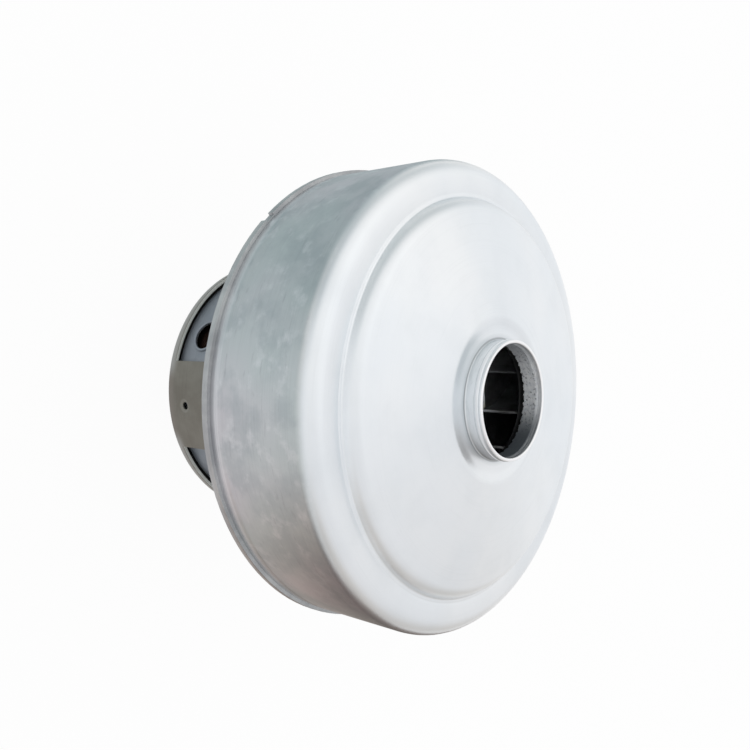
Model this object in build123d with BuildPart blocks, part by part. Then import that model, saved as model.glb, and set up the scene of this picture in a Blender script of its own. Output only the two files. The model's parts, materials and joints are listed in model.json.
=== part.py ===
from build123d import *
import os
from math import asin, cos, degrees, pi, radians, sin, sqrt

# Vacuum motor unit: a flow-through commutator motor with a one-stage fan.
# The motor axis is Z. The rear boss stands on Z = 0 and the inlet looks up.
# All lengths are millimetres, all angles degrees. Heights are worked out from the rear boss
# upwards and radii from the shaft and the drum, each from the pieces beside it.

# Fits
press_gap = 0.02
seat_gap = 0.05
loose_gap = 0.3
overrun = 1.0

# Ball bearings, the same size at both ends
bearing_bore = 4.0
bearing_radius = 11.0
bearing_width = 7.0
ball_radius = 1.98
ball_count = 7
ball_gap = 0.03
inner_ring_wall = 2.05
outer_ring_wall = 2.0
shield_sheet = 0.4
shield_gap = 0.25
shield_seat_depth = 0.35

# Rubber cushion under the rear bearing
cushion_height = 0.8
cushion_bore = 8.6
cushion_round = 0.25

# Shaft
shaft_shoulder = 1.0
shaft_end_gap = 0.7
shaft_end_chamfer = 0.5

# Commutator
commutator_radius = 11.5
commutator_rear_gap = 2.4
commutator_bar_length = 14.0
commutator_bar_end = 0.6
commutator_hub_wall = 3.6
commutator_riser_height = 2.0
commutator_riser_reach = 1.7
commutator_groove = 0.6

# Armature
armature_radius = 21.0
armature_slots = 22
slot_depth_share = 0.475
slot_width_share = 0.63
slot_mouth = 1.2
slot_tip = 1.0
slot_fill_gap = 0.12
slot_round_share = 0.45
armature_insulator_sheet = 0.8
winding_inset = 2.4
winding_bore_wall = 4.0
winding_rear_height = 5.8
winding_front_height = 5.6
winding_corner = 1.8

# Stator
stack_length = 28.0
stator_front_room = 8.0
air_gap = 0.6
pole_shoe_depth = 3.9
pole_neck_half_width = 10.5
pole_shoe_angle = 128.0
pole_angles = (90.0, 270.0)
pole_tip_round = 0.8
coil_gap = 0.5
coil_thickness = 4.5
coil_width = 9.2
coil_end_height = 5.4
coil_corner = 7.0
coil_edge = 1.4
insulator_sheet = 1.0
stator_yoke_wall = 7.55
stator_flat_depth = 3.05

# Air sleeve between the body and the stator
sleeve_wall = 0.8
sleeve_sill_gap = 0.4
sleeve_hole_radius = 4.5
sleeve_hole_rise = 12.8
sleeve_hole_offset_angle = 13.5
sleeve_hole_lip = 0.8
sleeve_hole_lip_wall = 0.6

# Motor body, drawn from one sheet
body_sheet = 1.2
body_corner = 3.0
body_sleeve_gap = 2.6
body_flange_bend = 2.0
body_screw_count = 4
body_screw_angle = 45.0
body_screw_inset = 0.4
body_screw_edge = 0.6
boss_floor_hole = 3.5
boss_step_drop = 0.6
boss_bend = 1.6
dome_top_width = 4.55
dome_slope_width = 2.7
dome_bend = 2.0
window_count = 4
window_angle = 52.0
window_first_angle = 45.0
window_sill = 2.9
window_head = 10.0
dimple_rise = 9.0
dimple_radius = 2.9
dimple_hole = 1.25
dimple_wall = 0.9
vent_dome_gap = 4.0
vent_wall_gap = 7.5
vent_angle = 32.0
vent_round = 2.0

# Fan cover, drawn from one sheet
cover_sheet = 0.9
drum_radius = 66.5
drum_corner = 5.0
ring_width = 9.7
step_width = 3.6
step_height = 3.3
step_bend = 1.6
cone_rise = 2.7
dish_width = 2.8
dish_bend = 2.4
plateau_width = 3.8
plateau_rise = 1.3
plateau_bend = 1.0
collar_bore = 15.7
collar_height = 5.3
collar_foot_bend = 1.1

# Front bracket
rim_overhang = 1.0
bracket_plate = 2.0
shoulder_height = 5.0
shoulder_wall = 1.2
bracket_window_gap = 6.4
bracket_window_width = 12.0
bracket_window_round = 1.0
bracket_spokes = 6
bracket_spoke_width = 8.0
bracket_boss_wall = 1.5
front_bearing_inset = 1.0
stake_depth = 0.7
stake_width = 3.2
stake_angles = (38.0, 218.0)

# Diffuser
return_channel_height = 21.5
diffuser_plate = 2.0
diffuser_drum_gap = 5.6
diffuser_fan_gap = 1.5
diffuser_hub_gap = 0.45
diffuser_hub_wall = 1.6
diffuser_spacer_gap = 1.5
return_vane_count = 12
return_vane_wall = 1.5
return_vane_sweep_angle = 34.0
return_vane_start_angle = 14.0
guide_vane_count = 17
guide_vane_wall = 1.4
guide_vane_depth = 6.2
guide_vane_sweep_angle = 17.0
diffuser_screw_count = 3
diffuser_screw_inset = 10.5
diffuser_boss_wall = 0.3
vane_edge_inset = 0.5
vane_bow_share = 0.38

# Fan: back disc, blades and front disc
fan_disc_sheet = 1.0
fan_vane_gap = 2.3
fan_neck_step = 0.6
fan_blade_count = 9
fan_blade_sheet = 0.8
fan_blade_sweep_angle = 62.0
fan_blade_start_angle = 110.0
fan_outlet_height = 9.2
fan_cone_fall = 3.7
fan_neck_height = 1.5
fan_neck_bend = 1.2
fan_front_sheet = 0.8
fan_front_gap = 0.4

# Fan clamp
spacer_radius = 6.0
washer_radius = 10.0
washer_sheet = 1.2
nut_flange_radius = 8.2
nut_flange_height = 1.0
nut_across_flats = 13.0
nut_height = 6.5
nut_chamfer = 0.6
thread_length_past_nut = 1.6

# Screws
m4_radius = 2.0
m4_head_radius = 3.8
m4_head_height = 2.2
m3_radius = 1.5
m3_head_radius = 2.8
m3_head_height = 1.8
recess_depth_share = 0.6
recess_width_share = 0.26
recess_span_share = 1.15

# Brush gear, one set on each side of the commutator
brush_rise = 6.6
plate_above_brush = 1.0
brush_half_width = 3.2
brush_half_depth = 5.0
brush_length = 13.6
brush_gap = 0.06
brush_travel = 5.0
brush_chamfer = 0.6
tube_wall = 0.6
tube_commutator_gap = 1.9
holder_tube_step = 0.5
holder_wall = 2.0
holder_round = 1.2
cap_wall = 1.4
holder_slot_gap = 0.3
ear_inset = 8.5
ear_length = 8.2
ear_reach = 14.2
ear_thickness = 2.8
ear_round = 2.0
ear_screw_reach = 10.4
spring_wire = 0.55
spring_radius = 2.3
spring_turns = 4
spring_end_gap = 0.1
spring_pressed_length = 2.64
tab_width = 4.8
tab_sheet = 0.8
tab_length = 7.0
tab_tip = 1.0

# Supply terminals
block_depth = 10.0
block_half_width = 8.2
block_height = 5.0
block_round = 1.0
block_ear_reach = 14.6
block_ear_screw = 11.4
block_ear_half_length = 3.6
spade_width = 6.3
spade_sheet = 0.8
spade_spacing = 8.6
spade_length = 8.2
spade_root = 4.4
spade_hole = 0.85
spade_tip = 1.2

# Heights, from the rear boss up to the collar rim
rear_bearing_bottom = body_sheet + cushion_height
rear_bearing_top = rear_bearing_bottom + bearing_width
boss_step_height = rear_bearing_top - boss_step_drop
commutator_bottom = rear_bearing_top + commutator_rear_gap
commutator_riser_bottom = commutator_bottom + commutator_bar_length
commutator_top = commutator_riser_bottom + commutator_riser_height
brush_height = commutator_bottom + brush_rise
body_bottom = brush_height + plate_above_brush
window_bottom = body_bottom + window_sill
dimple_height = body_bottom + dimple_rise
sleeve_bottom = window_bottom + sleeve_sill_gap
sleeve_hole_height = body_bottom + sleeve_hole_rise
rear_winding_top = commutator_top + winding_rear_height
stator_bottom = rear_winding_top + armature_insulator_sheet
stator_top = stator_bottom + stack_length
stator_middle = stator_bottom + stack_length / 2
front_winding_bottom = stator_top + armature_insulator_sheet
rim_height = stator_top + stator_front_room
window_top = rim_height - window_head
drum_bottom = rim_height + bracket_plate
front_bearing_bottom = drum_bottom + front_bearing_inset
front_bearing_top = front_bearing_bottom + bearing_width
bracket_boss_top = front_bearing_top + bracket_boss_wall
diffuser_bottom = drum_bottom + return_channel_height
diffuser_top = diffuser_bottom + diffuser_plate
diffuser_screw_seat = diffuser_top - m4_head_height - loose_gap
fan_back_height = diffuser_top + diffuser_fan_gap
blade_bottom = fan_back_height + fan_disc_sheet
washer_top = blade_bottom + washer_sheet
nut_top = washer_top + nut_height
shaft_bottom = body_sheet + shaft_end_gap
shaft_top = nut_top + thread_length_past_nut
fan_cone_bottom = blade_bottom + fan_outlet_height
fan_cone_top = fan_cone_bottom + fan_cone_fall
fan_neck_top = fan_cone_top + fan_neck_height
plateau_height = fan_neck_top + fan_front_gap + cover_sheet
dish_height = plateau_height - plateau_rise
disc_edge_height = dish_height - cone_rise
ring_height = disc_edge_height - step_height
collar_top = plateau_height + collar_height

# Radii, from the shaft out to the body
shaft_radius = bearing_bore + shaft_shoulder
bearing_pitch_radius = (bearing_bore + bearing_radius) / 2
inner_ring_shoulder = bearing_bore + inner_ring_wall
outer_ring_shoulder = bearing_radius - outer_ring_wall
commutator_hub_radius = shaft_radius + commutator_hub_wall
commutator_riser_radius = commutator_radius + commutator_riser_reach
winding_inner = shaft_radius + winding_bore_wall
winding_radius = armature_radius - winding_inset
slot_depth = slot_depth_share * (armature_radius - shaft_radius)
slot_width = slot_width_share * 2 * pi * (armature_radius - slot_depth) / armature_slots
stator_bore = armature_radius + air_gap
pole_shoe_radius = stator_bore + pole_shoe_depth
stator_yoke_inner = pole_shoe_radius + coil_thickness + 2 * coil_gap
stator_radius = stator_yoke_inner + stator_yoke_wall
stator_flat = stator_radius - stator_flat_depth
sleeve_bore = stator_radius + seat_gap
sleeve_radius = sleeve_bore + sleeve_wall
body_radius = sleeve_radius + body_sleeve_gap
body_bore = body_radius - body_sheet
body_screw_ring = body_radius + body_flange_bend + m4_head_radius + body_screw_inset
body_flange_radius = body_screw_ring + m4_head_radius + body_screw_edge
boss_bore = bearing_radius + seat_gap
boss_radius = boss_bore + body_sheet
dome_top_radius = boss_radius + dome_top_width
dome_foot_radius = dome_top_radius + dome_slope_width
vent_inner = dome_foot_radius + vent_dome_gap
vent_outer = body_radius - vent_wall_gap

# Radii, from the drum and the collar inwards
rim_radius = drum_radius + rim_overhang
drum_bore = drum_radius - cover_sheet
step_foot_radius = drum_radius - ring_width
step_top_radius = step_foot_radius - step_width
collar_radius = collar_bore + cover_sheet
plateau_radius = collar_radius + plateau_width
dish_radius = plateau_radius + dish_width
bracket_boss_radius = boss_bore + bracket_boss_wall
bracket_window_inner = bracket_boss_radius + bracket_window_gap
bracket_window_outer = bracket_window_inner + bracket_window_width
diffuser_radius = drum_bore - diffuser_drum_gap
diffuser_bore = spacer_radius + diffuser_spacer_gap
diffuser_boss_radius = m4_head_radius + loose_gap + diffuser_boss_wall
diffuser_screw_ring = bracket_window_outer + diffuser_screw_inset
guide_vane_inner = diffuser_radius - guide_vane_depth
fan_radius = guide_vane_inner - fan_vane_gap
fan_neck_bore = collar_bore + fan_neck_step
fan_neck_radius = fan_neck_bore + fan_front_sheet
fan_cone_slope = fan_cone_fall / (fan_radius - fan_neck_radius)
fan_cone_wall = fan_front_sheet * sqrt(1 + fan_cone_slope ** 2)
blade_inner = fan_neck_radius + vane_edge_inset
blade_outer = fan_radius - vane_edge_inset

# Brush gear and terminal places
brush_inner_end = commutator_radius + brush_gap
brush_outer_end = brush_inner_end + brush_length
tube_inner_end = commutator_radius + tube_commutator_gap
tube_half_width = brush_half_width + brush_gap + tube_wall
tube_half_depth = brush_half_depth + brush_gap + tube_wall
holder_inner_end = tube_inner_end + holder_tube_step
holder_half_width = tube_half_width + seat_gap + holder_wall
holder_half_depth = tube_half_depth + seat_gap + holder_wall / 2
cap_face = brush_outer_end + brush_travel + spring_pressed_length
holder_outer_end = cap_face + cap_wall
ear_inner = holder_inner_end + ear_inset
ear_screw_radius = ear_inner + ear_length / 2
block_outer = vent_outer
block_inner = block_outer - block_depth
block_middle = (block_inner + block_outer) / 2
ear_screw_places = [
    (x * ear_screw_radius, y * ear_screw_reach) for x in (-1, 1) for y in (-1, 1)
]
block_screw_places = [(x * block_ear_screw, block_middle) for x in (-1, 1)]
sides = {"right": 1, "left": -1}


os.makedirs("parts", exist_ok=True)


def write(part, name):
    """Labels a finished sub-part and writes it to its own file."""
    part.label = name
    export_step(part, f"parts/{name}.step")


def disc(low, high, outer, inner=0, mode=Mode.ADD):
    """Adds a disc, or a ring where it has a bore, to the part in hand."""
    with BuildSketch(Plane.XY.offset(low)) as face:
        Circle(outer)
        if inner:
            Circle(inner, mode=Mode.SUBTRACT)
    extrude(face.sketch, amount=high - low, mode=mode)


def turn(points, mode=Mode.ADD):
    """Adds a solid turned about the motor axis from a closed (radius, height) outline."""
    with BuildSketch(Plane.XZ) as face:
        with BuildLine():
            Polyline(*points, close=True)
        make_face()
    revolve(face.sketch, axis=Axis.Z, mode=mode)


def turn_sheet(path, bends, sheet, side, mode=Mode.ADD):
    """Adds a pressed sheet turned about the motor axis along a bent (radius, height) path."""
    with BuildSketch(Plane.XZ) as face:
        with BuildLine():
            FilletPolyline(*path, radius=bends)
            offset(amount=sheet, side=side, closed=True)
        make_face()
    revolve(face.sketch, axis=Axis.Z, mode=mode)


def block(x_range, y_range, z_range, corner=0, mode=Mode.ADD):
    """Adds an upright block between the given limits, its four upright edges rounded."""
    with BuildSketch(Plane.XY.offset(z_range[0])) as face:
        with Locations((sum(x_range) / 2, sum(y_range) / 2)):
            if corner:
                RectangleRounded(x_range[1] - x_range[0], y_range[1] - y_range[0], corner)
            else:
                Rectangle(x_range[1] - x_range[0], y_range[1] - y_range[0])
    extrude(face.sketch, amount=z_range[1] - z_range[0], mode=mode)


def sector(inner, outer, middle, width, round_radius=0):
    """Draws a ring sector on the sketch in hand, its middle and width given as angles."""
    first = radians(middle - width / 2)
    last = radians(middle + width / 2)
    half = radians(middle)
    with BuildSketch() as face:
        with BuildLine():
            ThreePointArc(*[(outer * cos(a), outer * sin(a)) for a in (first, half, last)])
            Line((outer * cos(last), outer * sin(last)), (inner * cos(last), inner * sin(last)))
            ThreePointArc(*[(inner * cos(a), inner * sin(a)) for a in (last, half, first)])
            Line((inner * cos(first), inner * sin(first)), (outer * cos(first), outer * sin(first)))
        make_face()
        if round_radius:
            fillet(face.vertices(), radius=round_radius)
    return face.sketch


def curved_vane(inner, outer, start, sweep, wall):
    """Draws a vane that curves from its inner to its outer radius while it turns by sweep."""
    first = radians(start)
    last = radians(start + sweep)
    bow = radians(start + sweep * vane_bow_share)
    middle = (inner + outer) / 2
    with BuildSketch() as face:
        with BuildLine():
            ThreePointArc((inner * cos(first), inner * sin(first)),
                          (middle * cos(bow), middle * sin(bow)),
                          (outer * cos(last), outer * sin(last)))
            offset(amount=wall, side=Side.LEFT, closed=True)
        make_face()
    return face.sketch


def radial_pin(angle, height, inner, outer, radius, mode=Mode.ADD):
    """Adds a round pin that runs straight out from the motor axis, or cuts a hole there."""
    outward = (cos(radians(angle)), sin(radians(angle)), 0)
    foot = (inner * outward[0], inner * outward[1], height)
    with BuildSketch(Plane(origin=foot, z_dir=outward)) as face:
        Circle(radius)
    extrude(face.sketch, amount=outer - inner, mode=mode)


def fan_cone_height(radius):
    """Gives the height of the underside of the fan's front disc at a radius."""
    return fan_cone_top - fan_cone_slope * (radius - fan_neck_radius) - fan_cone_wall - seat_gap


def stack_vanes(low, high, vane, count, start=0):
    """Adds upright vanes of one drawn shape, spaced evenly about the motor axis."""
    with BuildSketch(Plane.XY.offset(low)) as face:
        with PolarLocations(0, count, start_angle=start):
            add(vane)
    extrude(face.sketch, amount=high - low)


def screws(seat, direction, places, shank, head_radius, head_height, reach):
    """Adds pan-head screws whose heads seat at one height and point along direction."""
    head_end = seat + direction * head_height
    tip = seat - direction * reach
    cross_floor = head_end - direction * head_height * recess_depth_share
    for low, high, radius in ((seat, head_end, head_radius), (tip, seat, shank)):
        with BuildSketch(Plane.XY.offset(min(low, high))) as face:
            with Locations(*places):
                Circle(radius)
        extrude(face.sketch, amount=abs(high - low))
    with BuildSketch(Plane.XY.offset(min(cross_floor, head_end))) as cross:
        with Locations(*places):
            Rectangle(head_radius * recess_span_share, head_radius * recess_width_share)
            Rectangle(head_radius * recess_width_share, head_radius * recess_span_share)
    extrude(cross.sketch, amount=abs(head_end - cross_floor), mode=Mode.SUBTRACT)


def ring_places(radius, count, first):
    """Lists the centres of holes on a bolt circle."""
    turns = [radians(first + number * 360 / count) for number in range(count)]
    return [(radius * cos(a), radius * sin(a)) for a in turns]


def stator_face():
    """Draws the stator lamination: a flat-sided yoke with two poles facing each other along Y."""
    with BuildSketch() as face:
        Circle(stator_radius)
        Circle(stator_yoke_inner, mode=Mode.SUBTRACT)
        Rectangle(2 * pole_neck_half_width, 2 * (stator_yoke_inner + overrun))
        for middle in pole_angles:
            add(sector(stator_bore, pole_shoe_radius, middle, pole_shoe_angle, pole_tip_round))
        Circle(stator_bore, mode=Mode.SUBTRACT)
        Rectangle(2 * stator_flat, 2 * stator_radius, mode=Mode.INTERSECT)
    return face.sketch


def slot_face(gap):
    """Draws one armature slot, opening at the rim, with the given gap to its walls."""
    floor = armature_radius - slot_depth
    with BuildSketch() as face:
        with Locations((armature_radius - slot_tip - (slot_depth - slot_tip) / 2, 0)):
            RectangleRounded(slot_depth - slot_tip - 2 * gap, slot_width - 2 * gap,
                             (slot_width - 2 * gap) * slot_round_share)
        if not gap:
            with Locations(((floor + armature_radius + overrun) / 2, 0)):
                Rectangle(slot_depth + overrun - slot_width, slot_mouth)
    return face.sketch


def armature_face(radius):
    """Draws the armature lamination with its slots."""
    with BuildSketch() as face:
        Circle(radius)
        Circle(shaft_radius + press_gap, mode=Mode.SUBTRACT)
        with PolarLocations(0, armature_slots):
            add(slot_face(0), mode=Mode.SUBTRACT)
    return face.sketch


def outward(side, inner, outer):
    """Gives the X limits of a piece of the brush gear that lies between two radii."""
    return tuple(sorted((side * inner, side * outer)))


def across(half):
    """Gives the Y limits of a piece that is centred on the brush."""
    return (-half, half)


def upright(half):
    """Gives the Z limits of a piece that is centred on the brush."""
    return (brush_height - half, brush_height + half)


diffuser_screw_places = ring_places(diffuser_screw_ring, diffuser_screw_count, 0)
body_screw_places = ring_places(body_screw_ring, body_screw_count, body_screw_angle)

# Fan cover
with BuildPart() as fan_cover:
    turn_sheet(
        path=[
            (drum_radius, drum_bottom),
            (drum_radius, ring_height),
            (step_foot_radius, ring_height),
            (step_top_radius, disc_edge_height),
            (dish_radius, dish_height),
            (plateau_radius, plateau_height),
            (collar_radius, plateau_height),
            (collar_radius, collar_top),
        ],
        bends=[drum_corner, step_bend, step_bend, dish_bend, plateau_bend, collar_foot_bend],
        sheet=cover_sheet,
        side=Side.LEFT,
    )
write(fan_cover.part, "fan_cover")

# Front bracket: the plate that carries the fan cover, the diffuser and the front bearing
with BuildPart() as front_bracket:
    disc(rim_height, drum_bottom, rim_radius, boss_bore)
    disc(drum_bottom, drum_bottom + shoulder_height, drum_bore - seat_gap,
         drum_bore - seat_gap - shoulder_wall)
    disc(drum_bottom, bracket_boss_top, bracket_boss_radius, boss_bore)
    disc(front_bearing_top, bracket_boss_top, boss_bore, diffuser_bore)
    window_middle_radius = (bracket_window_inner + bracket_window_outer) / 2
    spoke_angle = 2 * degrees(asin(bracket_spoke_width / 2 / window_middle_radius))
    with BuildSketch(Plane.XY.offset(rim_height)):
        with PolarLocations(0, bracket_spokes, start_angle=180 / bracket_spokes):
            add(sector(bracket_window_inner, bracket_window_outer, 0,
                       360 / bracket_spokes - spoke_angle, bracket_window_round))
    extrude(amount=bracket_plate, mode=Mode.SUBTRACT)
    with BuildSketch(Plane.XY.offset(rim_height)):
        with Locations(*diffuser_screw_places):
            Circle(m4_radius + seat_gap)
        with Locations(*body_screw_places):
            Circle(m4_radius + seat_gap)
    extrude(amount=bracket_plate, mode=Mode.SUBTRACT)
    for angle in stake_angles:
        with BuildSketch(Plane.XY.offset(rim_height)):
            with PolarLocations(rim_radius, 1, start_angle=angle):
                Rectangle(2 * stake_depth, stake_width)
        extrude(amount=bracket_plate, mode=Mode.SUBTRACT)
write(front_bracket.part, "front_bracket")

# Diffuser: guide vanes above the plate, return vanes below it
with BuildPart() as diffuser:
    disc(diffuser_bottom, diffuser_top, diffuser_radius, diffuser_bore)
    hub_bore = bracket_boss_radius + diffuser_hub_gap
    disc(drum_bottom, diffuser_bottom, hub_bore + diffuser_hub_wall, hub_bore)
    stack_vanes(drum_bottom, diffuser_bottom,
                curved_vane(bracket_window_outer, diffuser_radius - vane_edge_inset, 0,
                            return_vane_sweep_angle, return_vane_wall),
                return_vane_count, start=return_vane_start_angle)
    stack_vanes(diffuser_top, ring_height - cover_sheet - loose_gap,
                curved_vane(guide_vane_inner, diffuser_radius - vane_edge_inset, 0,
                            -guide_vane_sweep_angle, guide_vane_wall),
                guide_vane_count)
    with BuildSketch(Plane.XY.offset(drum_bottom)):
        with Locations(*diffuser_screw_places):
            Circle(diffuser_boss_radius)
    extrude(amount=diffuser_bottom - drum_bottom)
    with BuildSketch(Plane.XY.offset(drum_bottom)):
        with Locations(*diffuser_screw_places):
            Circle(m4_radius + seat_gap)
    extrude(amount=diffuser_top - drum_bottom, mode=Mode.SUBTRACT)
    with BuildSketch(Plane.XY.offset(diffuser_screw_seat)):
        with Locations(*diffuser_screw_places):
            Circle(m4_head_radius + loose_gap)
    extrude(amount=diffuser_top - diffuser_screw_seat, mode=Mode.SUBTRACT)
write(diffuser.part, "diffuser")

with BuildPart() as diffuser_screws:
    screws(diffuser_screw_seat, 1, diffuser_screw_places,
           m4_radius, m4_head_radius, m4_head_height, diffuser_screw_seat - rim_height)
write(diffuser_screws.part, "diffuser_screws")

# Fan: two aluminium discs with curved sheet blades between them
with BuildPart() as fan_back_disc:
    disc(fan_back_height, blade_bottom, fan_radius, bearing_bore + press_gap)
write(fan_back_disc.part, "fan_back_disc")

with BuildPart() as fan_front_disc:
    turn_sheet(
        path=[
            (fan_radius, fan_cone_bottom),
            (fan_neck_radius, fan_cone_top),
            (fan_neck_radius, fan_neck_top),
        ],
        bends=[fan_neck_bend],
        sheet=fan_front_sheet,
        side=Side.LEFT,
    )
write(fan_front_disc.part, "fan_front_disc")

with BuildPart() as fan_blades:
    stack_vanes(blade_bottom, fan_cone_top,
                curved_vane(blade_inner, blade_outer, 0, fan_blade_sweep_angle, fan_blade_sheet),
                fan_blade_count, start=fan_blade_start_angle)
    turn(
        points=[
            (blade_inner - overrun, fan_cone_height(blade_inner - overrun)),
            (fan_radius + overrun, fan_cone_height(fan_radius + overrun)),
            (fan_radius + overrun, fan_neck_top),
            (blade_inner - overrun, fan_neck_top),
        ],
        mode=Mode.SUBTRACT,
    )
write(fan_blades.part, "fan_blades")

# Fan clamp on the shaft
with BuildPart() as fan_spacer:
    disc(front_bearing_top, fan_back_height, spacer_radius, bearing_bore + press_gap)
write(fan_spacer.part, "fan_spacer")

with BuildPart() as fan_washer:
    disc(blade_bottom, washer_top, washer_radius, bearing_bore + press_gap)
write(fan_washer.part, "fan_washer")

with BuildPart() as fan_nut:
    disc(washer_top, washer_top + nut_flange_height, nut_flange_radius)
    with BuildSketch(Plane.XY.offset(washer_top)):
        RegularPolygon(nut_across_flats / 2, 6, major_radius=False)
    extrude(amount=nut_height)
    chamfer(fan_nut.faces().sort_by(Axis.Z)[-1].edges(), length=nut_chamfer)
    disc(washer_top, nut_top, bearing_bore + press_gap, mode=Mode.SUBTRACT)
write(fan_nut.part, "fan_nut")

# Motor body: flange, windowed wall, rear plate with vents, dome and bearing boss
with BuildPart() as motor_body:
    turn_sheet(
        path=[
            (boss_floor_hole, 0),
            (boss_radius, 0),
            (boss_radius, boss_step_height),
            (dome_top_radius, boss_step_height),
            (dome_foot_radius, body_bottom),
            (body_radius, body_bottom),
            (body_radius, rim_height - body_sheet),
            (body_flange_radius, rim_height - body_sheet),
        ],
        bends=[boss_bend, boss_bend, dome_bend, dome_bend, body_corner, body_flange_bend],
        sheet=body_sheet,
        side=Side.LEFT,
    )
    for number in range(window_count):
        middle = window_first_angle + number * 360 / window_count
        with BuildSketch(Plane.XY.offset(window_bottom)) as window:
            add(sector(body_bore - overrun, body_radius + overrun, middle, window_angle))
        extrude(window.sketch, amount=window_top - window_bottom, mode=Mode.SUBTRACT)
        with BuildSketch(Plane.XY.offset(body_bottom)) as vent:
            add(sector(vent_inner, vent_outer, middle, vent_angle, vent_round))
        extrude(vent.sketch, amount=body_sheet, mode=Mode.SUBTRACT)
    for side in sides.values():
        block(outward(side, boss_radius + body_sheet, holder_outer_end + holder_slot_gap),
              across(holder_half_width + holder_slot_gap),
              (brush_height - holder_half_depth - holder_slot_gap, body_bottom + body_sheet),
              mode=Mode.SUBTRACT)
    for number in range(window_count):
        angle = number * 360 / window_count
        post_middle = (body_bore + body_radius) / 2
        radial_pin(angle, dimple_height, sleeve_radius + seat_gap, post_middle, dimple_radius)
        radial_pin(angle, dimple_height, sleeve_radius, body_radius + overrun, dimple_hole,
                   mode=Mode.SUBTRACT)
        radial_pin(angle, dimple_height, sleeve_radius + dimple_wall, body_radius + overrun,
                   dimple_radius - dimple_wall, mode=Mode.SUBTRACT)
    with BuildSketch(Plane.XY.offset(rim_height - body_sheet)):
        with Locations(*body_screw_places):
            Circle(m4_radius + seat_gap)
    extrude(amount=body_sheet, mode=Mode.SUBTRACT)
    with BuildSketch(Plane.XY.offset(body_bottom)):
        with Locations(*ear_screw_places, *block_screw_places):
            Circle(m3_radius + seat_gap)
    extrude(amount=body_sheet, mode=Mode.SUBTRACT)
write(motor_body.part, "motor_body")

with BuildPart() as body_screws:
    screws(rim_height - body_sheet, -1,
           body_screw_places,
           m4_radius, m4_head_radius, m4_head_height, body_sheet + bracket_plate)
write(body_screws.part, "body_screws")

# Air sleeve seen through the body windows, with one lipped hole in each window
with BuildPart() as air_sleeve:
    disc(sleeve_bottom, rim_height, sleeve_radius, sleeve_bore)
    for number in range(window_count):
        angle = window_first_angle + sleeve_hole_offset_angle + number * 360 / window_count
        radial_pin(angle, sleeve_hole_height, (sleeve_bore + sleeve_radius) / 2,
                   sleeve_radius + sleeve_hole_lip, sleeve_hole_radius + sleeve_hole_lip_wall)
        radial_pin(angle, sleeve_hole_height, sleeve_bore - overrun,
                   sleeve_radius + sleeve_hole_lip + overrun, sleeve_hole_radius,
                   mode=Mode.SUBTRACT)
write(air_sleeve.part, "air_sleeve")

# Stator core and its end insulators
with BuildPart() as stator_core:
    extrude(Plane.XY.offset(stator_bottom) * stator_face(), amount=stack_length)
write(stator_core.part, "stator_core")

with BuildPart() as stator_insulators:
    for low in (stator_bottom - insulator_sheet, stator_top):
        extrude(Plane.XY.offset(low) * stator_face(), amount=insulator_sheet)
write(stator_insulators.part, "stator_insulators")

# Field coils: one saddle around each pole neck
coil_inner_half_width = pole_neck_half_width + coil_gap
coil_inner_half_height = stack_length / 2 + insulator_sheet + loose_gap
for name, direction in (("field_coil_front", -1), ("field_coil_back", 1)):
    with BuildPart() as field_coil:
        with BuildSketch(Plane.XZ.offset(-direction * pole_neck_half_width)) as loop:
            with Locations((0, stator_middle)):
                RectangleRounded(2 * (coil_inner_half_width + coil_width),
                                 2 * (coil_inner_half_height + coil_end_height), coil_corner)
                RectangleRounded(2 * coil_inner_half_width, 2 * coil_inner_half_height,
                                 coil_edge, mode=Mode.SUBTRACT)
        extrude(loop.sketch, amount=-direction * stator_yoke_inner)
        disc(stator_bottom - stack_length, stator_top + stack_length,
             stator_yoke_inner - coil_gap, pole_shoe_radius + coil_gap, mode=Mode.INTERSECT)
    write(field_coil.part, name)

# Rotor: shaft, laminated core, winding and commutator
with BuildPart() as shaft:
    disc(shaft_bottom, shaft_top, bearing_bore)
    disc(rear_bearing_top, front_bearing_bottom, shaft_radius)
    chamfer(shaft.edges().filter_by(GeomType.CIRCLE).group_by(Axis.Z)[0], length=shaft_end_chamfer)
    chamfer(shaft.edges().filter_by(GeomType.CIRCLE).group_by(Axis.Z)[-1], length=shaft_end_chamfer)
write(shaft.part, "shaft")

with BuildPart() as armature_core:
    extrude(Plane.XY.offset(stator_bottom) * armature_face(armature_radius), amount=stack_length)
write(armature_core.part, "armature_core")

with BuildPart() as armature_insulators:
    for low in (stator_bottom - armature_insulator_sheet, stator_top):
        extrude(Plane.XY.offset(low) * armature_face(armature_radius - slot_tip),
                amount=armature_insulator_sheet)
write(armature_insulators.part, "armature_insulators")

with BuildPart() as armature_winding:
    for low, high in ((commutator_top, rear_winding_top),
                      (front_winding_bottom, front_winding_bottom + winding_front_height)):
        disc(low, high, winding_radius, winding_inner)
    fillet(armature_winding.edges().filter_by(GeomType.CIRCLE)
           .filter_by(lambda edge: edge.radius > winding_inner), radius=winding_corner)
    with BuildSketch(Plane.XY.offset(rear_winding_top - winding_corner)):
        with PolarLocations(0, armature_slots):
            add(slot_face(slot_fill_gap))
    extrude(amount=front_winding_bottom - rear_winding_top + 2 * winding_corner)
write(armature_winding.part, "armature_winding")

with BuildPart() as commutator_hub:
    disc(commutator_bottom, commutator_top, commutator_hub_radius - press_gap,
         shaft_radius + press_gap)
write(commutator_hub.part, "commutator_hub")

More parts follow.
